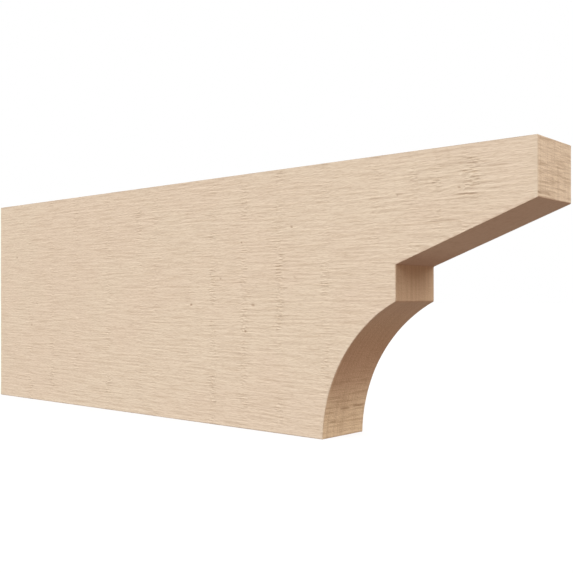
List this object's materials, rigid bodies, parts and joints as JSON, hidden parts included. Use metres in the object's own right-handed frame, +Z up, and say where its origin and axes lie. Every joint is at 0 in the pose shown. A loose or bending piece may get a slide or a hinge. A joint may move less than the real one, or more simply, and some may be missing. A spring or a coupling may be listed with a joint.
{
  "type": "rafter tail",
  "caption": "Rough-sawn timber rafter tail with a tapered tail, a notch and a cove, fixed under the eaves to carry or dress the roof's overhang.",
  "frame": {"origin": "middle of the bounding box at the underside, so the timber stands on z = 0", "axes": "+X along the timber from the square back end to the nose, +Y across its width, +Z up"},
  "size_m": [1.2192, 0.1016, 0.4064],
  "materials": {
    "sawn_softwood": "rough sawn, unfinished"
  },
  "bodies": {
    "root": {"rafter_tail": "sawn_softwood"}
  },
  "joints": []
}
